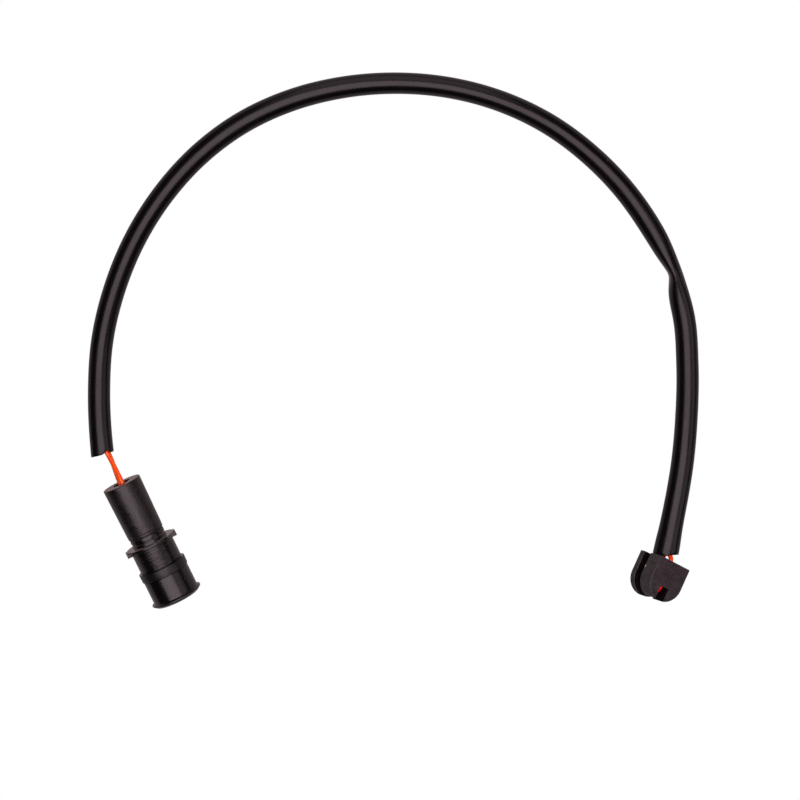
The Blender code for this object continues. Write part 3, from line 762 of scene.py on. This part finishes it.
def moulded_material(name, dark, pale, low, high, lines):
    """Black moulding: mottled skin, scuffs, specks, rearward faces painted paler as reflected light,
    turning lines if lines > 0, with the lugs then painted paler and the ring rougher.
    """
    made, nodes, links, shader = new_material(name)
    place = coordinates(nodes)
    patch = noise(nodes, links, place, 260.0, 3.0)
    stretch = nodes.new("ShaderNodeMapping")
    stretch.inputs["Scale"].default_value = (1.0, 0.16, 1.0)
    links.new(place, stretch.inputs["Vector"])
    scuff, normal = fine_grain(nodes, links, stretch.outputs["Vector"], 2400.0, 4.0, 0.7, 0.25, 0.00003)
    relief = (0.3, 0.00006) if lines else (0.8, 0.00013)
    mottle, normal = fine_grain(nodes, links, place, 900.0, 5.0, 0.65, *relief, normal)
    tone = math_node(nodes, links, "ADD", math_node(nodes, links, "MULTIPLY", mottle, 0.55),
                     math_node(nodes, links, "MULTIPLY", patch, 0.45))
    base = mixed(nodes, links, ramp(nodes, links, tone, [(0.36, 0.0), (0.66, 1.0)]), dark, pale)
    dust = specks(nodes, links, place, 700.0, 0.13, 0.12)
    dusty = math_node(nodes, links, "MULTIPLY", dust, 0.5)
    base = mixed(nodes, links, dusty, base, (0.11, 0.09, 0.085))
    # Painted reflected light: rearward faces at the back of the part are painted paler.
    facing = nodes.new("ShaderNodeSeparateXYZ")
    links.new(nodes.new("ShaderNodeNewGeometry").outputs["True Normal"], facing.inputs["Vector"])
    parts = nodes.new("ShaderNodeSeparateXYZ")
    links.new(place, parts.inputs["Vector"])
    faces_back = math_node(nodes, links, "GREATER_THAN", facing.outputs["Y"], 0.8)
    far_back = math_node(nodes, links, "GREATER_THAN", parts.outputs["Y"], REAR_FROM * MM)
    rear = math_node(nodes, links, "MULTIPLY", faces_back, far_back)
    painted_rear_light = math_node(nodes, links, "MULTIPLY", rear, 0.85)
    base = mixed(nodes, links, painted_rear_light, base, (0.155, 0.118, 0.110))
    rough = ramp(nodes, links, scuff, [(0.3, low), (0.75, high)])
    if lines:
        # Painted light: the lugs are painted paler.
        behind = math_node(nodes, links, "GREATER_THAN", parts.outputs["Y"], LUGS_FROM * MM)
        from_axis = math_node(nodes, links, "ADD", parts.outputs["X"], -connector_point(0, 0, 0).x)
        far_out = math_node(nodes, links, "ABSOLUTE", from_axis)
        outside = math_node(nodes, links, "GREATER_THAN", far_out, LUGS_OUTSIDE * MM)
        lug = math_node(nodes, links, "MULTIPLY", behind, outside)
        painted_lug_light = math_node(nodes, links, "MULTIPLY", lug, 0.7)
        base = mixed(nodes, links, painted_lug_light, base, (0.062, 0.050, 0.053))
        ring = between(nodes, links, parts.outputs["Y"], *RING_SPAN)
        rough = math_node(nodes, links, "MULTIPLY_ADD", ring, 0.16, rough)
        around = nodes.new("ShaderNodeMapping")
        around.inputs["Scale"].default_value = (0.03, 1.0, 0.03)
        links.new(place, around.inputs["Vector"])
        lathe = noise(nodes, links, around.outputs["Vector"], 3600.0, 2.0, 0.6)
        barrel = between(nodes, links, parts.outputs["Y"], *BARREL_SPAN)
        share = math_node(nodes, links, "MULTIPLY_ADD", barrel, 0.92, 0.08)
        height = math_node(nodes, links, "MULTIPLY", lathe, share)
        normal = bump(nodes, links, height, lines, 0.00016, normal)
    links.new(base, shader.inputs["Base Color"])
    links.new(rough, shader.inputs["Roughness"])
    links.new(normal, shader.inputs["Normal"])
    shader.inputs["Specular IOR Level"].default_value = 0.42
    return made


cap_black = moulded_material("cap_black_moulding", (0.0028, 0.0018, 0.0018), (0.0115, 0.0085, 0.0088),
                             0.24, 0.44, 0.0)
cap = connector_rear_cap()
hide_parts("connector_rear_cap")


# Connector body: one black moulding with a spigot, a grooved neck, a flange with two keying lugs, a
# turned barrel, a ring, a front barrel and a thin lip. Its socket takes the nose of the harness
# connector, and two holes in the wall behind the socket hold the pins.
PIN_HOLE_RADIUS = 1.05
PIN_HOLE_SPAN = (19.0, 27.2)
LUG_ROLL = -13.7
LUG_REACH = 7.57
LUG_WIDTH = 3.16
LUG_REAR = 18.41
LUG_FRONT = 19.98
LUG_BEVEL = 0.16


def connector_body():
    """The turned outside and socket, two holes through the wall for the pins, and the two lugs."""
    shape = turned([
        (20.0, 0.0, 0), (20.0, 3.3, 0.1), (7.5, 3.3, 0.1), (7.5, 4.0, 0.12), (16.0, 4.0, 0.03),
        (16.0, 5.02, 0.14), (17.12, 5.08, 0.2), (17.16, 4.8, 0.04), (17.52, 4.8, 0.04),
        (17.56, 5.08, 0.2), (18.1, 5.1, 0.1), (18.4, 5.16, 0.06), (18.4, 7.26, 0.1),
        (19.05, 7.29, 0.12), (19.05, 6.14, 0.06), (19.3, 6.14, 0.03), (19.34, 6.21, 0.03),
        (25.6, 6.21, 0.04), (25.66, 6.1, 0.02), (25.85, 6.1, 0.02),
        (25.85, 6.95, 0.18), (28.3, 6.9, 0.2), (28.3, 6.52, 0.03), (28.46, 6.52, 0.03),
        (28.52, 6.65, 0.03), (35.1, 6.65, 0.06), (35.4, 7.38, 0.04), (35.7, 7.395, 0.05),
        (36.45, 6.45, 0.05), (36.45, 5.7, 0.06), (26.45, 5.7, 0.15), (26.45, 0.0, 0),
    ])
    body = place_mesh("connector_shell", shape, body_black)
    holes = []
    for side in (-1, 1):
        hole = bmesh.new()
        bmesh.ops.create_cone(hole, cap_ends=True, cap_tris=False, segments=40,
                              radius1=PIN_HOLE_RADIUS, radius2=PIN_HOLE_RADIUS, depth=1.0)
        for v in hole.verts:
            along = PIN_HOLE_SPAN[v.co.z > 0]
            v.co = connector_point(side * PIN_SPACING / 2 + v.co.x, v.co.y, along)
        holes.append(hole)
    carve(body, holes)
    roll = math.radians(LUG_ROLL)
    shape = bmesh.new()
    shape.from_mesh(body.data)
    for side in (-1, 1):
        lug = bmesh.new()
        bmesh.ops.create_cube(lug, size=1.0)
        for v in lug.verts:
            x = side * (4.4 if v.co.x * side < 0 else LUG_REACH)
            y = v.co.y * LUG_WIDTH
            s = LUG_REAR if v.co.z < 0 else LUG_FRONT
            v.co = connector_point(x * math.cos(roll) - y * math.sin(roll),
                                   x * math.sin(roll) + y * math.cos(roll), s)
        bmesh.ops.recalc_face_normals(lug, faces=lug.faces[:])
        bmesh.ops.bevel(lug, geom=lug.edges[:], affect="EDGES", offset=LUG_BEVEL * MM, segments=3,
                        profile=0.5, material=-1)
        part = bpy.data.meshes.new("lug")
        lug.to_mesh(part)
        lug.free()
        shape.from_mesh(part)
    shape.to_mesh(body.data)
    shape.free()
    body.data.shade_smooth()
    body.data.set_sharp_from_angle(angle=math.radians(40))
    return body


body_black = moulded_material("body_black_moulding", (0.0008, 0.0005, 0.0005), (0.0034, 0.0024, 0.0026),
                              0.17, 0.30, 0.9)
body = connector_body()
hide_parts("connector_body")


# Grommet: a soft stepped plug of dull black rubber that sits in the rear cap's hole. Its one oval
# opening lets both wires through and keeps dirt out.
GROMMET_BEVEL = 0.12


def soft_edges(made, width, angle=30, segments=3):
    """Bevels every edge sharper than the angle and evens the shading out."""
    shape = bmesh.new()
    shape.from_mesh(made.data)
    bmesh.ops.remove_doubles(shape, verts=shape.verts[:], dist=0.002 * MM)
    inner = [e for e in shape.edges if len(e.link_faces) == 2]
    edges = [e for e in inner if e.calc_face_angle() > math.radians(angle)]
    bmesh.ops.bevel(shape, geom=edges, affect="EDGES", offset=width * MM, segments=segments,
                    profile=0.5, material=-1, clamp_overlap=True)
    shape.to_mesh(made.data)
    shape.free()
    made.data.shade_smooth()
    even = made.modifiers.new("even_shading", "WEIGHTED_NORMAL")
    even.keep_sharp = True


def wire_grommet():
    """A stepped plug, with the opening cut out as the hull of two round holes."""
    shape = turned([
        (0.5, 0.0, 0), (0.5, 2.2, 0.25), (2.8, 2.2, 0.1), (2.8, 4.0, 0.1), (4.3, 4.0, 0.3),
        (4.3, 0.0, 0),
    ], 96)
    made = place_mesh("grommet_plug", shape, rubber)
    opening = bmesh.new()
    for side in (-1, 1):
        for k in range(32):
            a = math.tau * k / 32
            for s in (0.0, 5.3):
                x = side * GROMMET_SIDEWAYS + BORE_RADIUS * math.cos(a)
                y = side * GROMMET_UPWARD + BORE_RADIUS * math.sin(a)
                opening.verts.new(connector_point(x, y, s))
    bmesh.ops.convex_hull(opening, input=opening.verts[:])
    carve(made, [opening])
    soft_edges(made, GROMMET_BEVEL)
    return made


def rubber_material():
    """Dull soft rubber with a fine grain."""
    made, nodes, links, shader = new_material("grommet_rubber_skin")
    place = coordinates(nodes)
    grain, normal = fine_grain(nodes, links, place, 2200.0, 4.0, 0.5, 0.4, 0.00006)
    base = mixed(nodes, links, grain, (0.006, 0.005, 0.005), (0.018, 0.015, 0.015))
    links.new(base, shader.inputs["Base Color"])
    links.new(ramp(nodes, links, grain, [(0.3, 0.6), (0.7, 0.8)]), shader.inputs["Roughness"])
    links.new(normal, shader.inputs["Normal"])
    return made


rubber = rubber_material()
grommet = wire_grommet()
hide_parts("wire_grommet")


# Contact pins: two contacts turned in brass, each with a crimp barrel behind for the wire, a shoulder
# and a round nosed pin in the socket. They stand in the two holes of the body's wall.
PIN_RADIUS = 0.75
CRIMP_RADIUS = 1.25


def contact_pin(name, x):
    """Open crimp barrel, shoulder and round nosed pin."""
    shape = turned([
        (18.1, 0.0, 0), (18.1, BORE_RADIUS, 0.1), (14.5, BORE_RADIUS, 0.08),
        (14.5, CRIMP_RADIUS, 0.08), (19.7, CRIMP_RADIUS, 0.15), (19.7, PIN_RADIUS, 0.05),
        (31.35, PIN_RADIUS, 0.3), (31.85, 0.35, 0.2), (31.85, 0.0, 0),
    ], 48, (x, 0.0))
    return place_mesh(name, shape, brass)


def brass_material():
    """Turned brass: fine rings, slightly dulled."""
    made, nodes, links, shader = new_material("brass_turned")
    place = coordinates(nodes)
    rings = nodes.new("ShaderNodeMapping")
    rings.inputs["Scale"].default_value = (0.2, 6.0, 0.2)
    links.new(place, rings.inputs["Vector"])
    lathe = noise(nodes, links, rings.outputs["Vector"], 900.0, 3.0)
    dull = noise(nodes, links, place, 600.0, 4.0)
    base = mixed(nodes, links, dull, (0.52, 0.34, 0.11), (0.78, 0.56, 0.24))
    links.new(base, shader.inputs["Base Color"])
    shader.inputs["Metallic"].default_value = 1.0
    links.new(ramp(nodes, links, lathe, [(0.3, 0.22), (0.7, 0.38)]), shader.inputs["Roughness"])
    links.new(bump(nodes, links, lathe, 0.3, 0.00004), shader.inputs["Normal"])
    return made


brass = brass_material()
left_pin = contact_pin("left_contact", -PIN_SPACING / 2)
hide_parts("contact_pin_left")
right_pin = contact_pin("right_contact", PIN_SPACING / 2)
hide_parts("contact_pin_right")


# Camera: it stands 550 mm from the table and leans 10 degrees towards the photograph's top, so that
# the part lies across the picture as it does there.
eye = Vector((-6.59, 161.15, 541.6)) * MM
target = Vector((-46.24, 74.28, 0.0)) * MM
lens = bpy.data.cameras.new("photo_camera")
lens.sensor_width = 36.0
lens.lens = 87.85
lens.clip_start = 0.01
camera = bpy.data.objects.new("photo_camera", lens)
bpy.context.scene.collection.objects.link(camera)
back = (eye - target).normalized()
right = Vector((0.9096, -0.4155, 0.0))
above = back.cross(right).normalized()
right = above.cross(back)
camera.location = eye
camera.rotation_euler = Matrix((right, above, back)).transposed().to_euler()
bpy.context.scene.camera = camera


# Table and light: a plain white table in a dim room, under a broad soft light overhead, with smaller
# ones low at the picture's right and top.
PART_MIDDLE = Vector((-0.046, 0.075, 0.0))
LIGHT_COLOUR = (1.0, 0.81, 0.88)


def white_table():
    """White to the camera, a tinted half of that in reflections, plain matte white to all other light."""
    made, nodes, links, shader = new_material("white_table")
    shader.inputs["Base Color"].default_value = (0.9, 0.9, 0.9, 1.0)
    shader.inputs["Roughness"].default_value = 0.9
    glow = nodes.new("ShaderNodeEmission")
    ray = nodes.new("ShaderNodeLightPath")
    links.new(mixed(nodes, links, ray.outputs["Is Camera Ray"], (1.0, 0.83, 0.84), (1.0, 1.0, 1.0)),
              glow.inputs["Color"])
    seen = math_node(nodes, links, "MAXIMUM", ray.outputs["Is Camera Ray"], ray.outputs["Is Glossy Ray"])
    strength = math_node(nodes, links, "MULTIPLY_ADD", ray.outputs["Is Camera Ray"], 0.5, 0.5)
    links.new(strength, glow.inputs["Strength"])
    blend = nodes.new("ShaderNodeMixShader")
    links.new(seen, blend.inputs["Fac"])
    links.new(shader.outputs["BSDF"], blend.inputs[1])
    links.new(glow.outputs["Emission"], blend.inputs[2])
    links.new(blend.outputs["Shader"], nodes["Material Output"].inputs["Surface"])
    return made


floor_shape = bmesh.new()
bmesh.ops.create_grid(floor_shape, x_segments=1, y_segments=1, size=2.0)
floor_data = bpy.data.meshes.new("table_top")
floor_shape.to_mesh(floor_data)
floor_shape.free()
floor_data.materials.append(white_table())
floor = bpy.data.objects.new("table_top", floor_data)
floor.location = (PART_MIDDLE.x, PART_MIDDLE.y, -0.0002)
bpy.context.scene.collection.objects.link(floor)


def softbox(name, place, size, power):
    """A square soft light that shines on the middle of the part."""
    data = bpy.data.lights.new(name, "AREA")
    data.shape = "SQUARE"
    data.size = size
    data.energy = power
    data.color = LIGHT_COLOUR
    made = bpy.data.objects.new(name, data)
    made.location = place
    away = Vector(place) - PART_MIDDLE
    made.rotation_euler = away.to_track_quat("Z", "Y").to_euler()
    bpy.context.scene.collection.objects.link(made)


softbox("overhead_softbox", (0.004, 0.133, 1.0), 1.06, 11.5)
softbox("right_softbox", (0.699, -0.266, 0.574), 0.6, 1.3)
softbox("top_softbox", (0.331, 0.899, 0.423), 0.8, 2.3)

world = bpy.data.worlds.new("room")
world.use_nodes = True
nodes = world.node_tree.nodes
links = world.node_tree.links
seen = nodes.new("ShaderNodeLightPath").outputs["Is Camera Ray"]
room = nodes["Background"]
room.inputs["Color"].default_value = (1.0, 1.0, 1.0, 1.0)
links.new(math_node(nodes, links, "MULTIPLY_ADD", seen, 0.97, 0.03), room.inputs["Strength"])
bpy.context.scene.world = world
bpy.context.scene.view_settings.view_transform = "Standard"
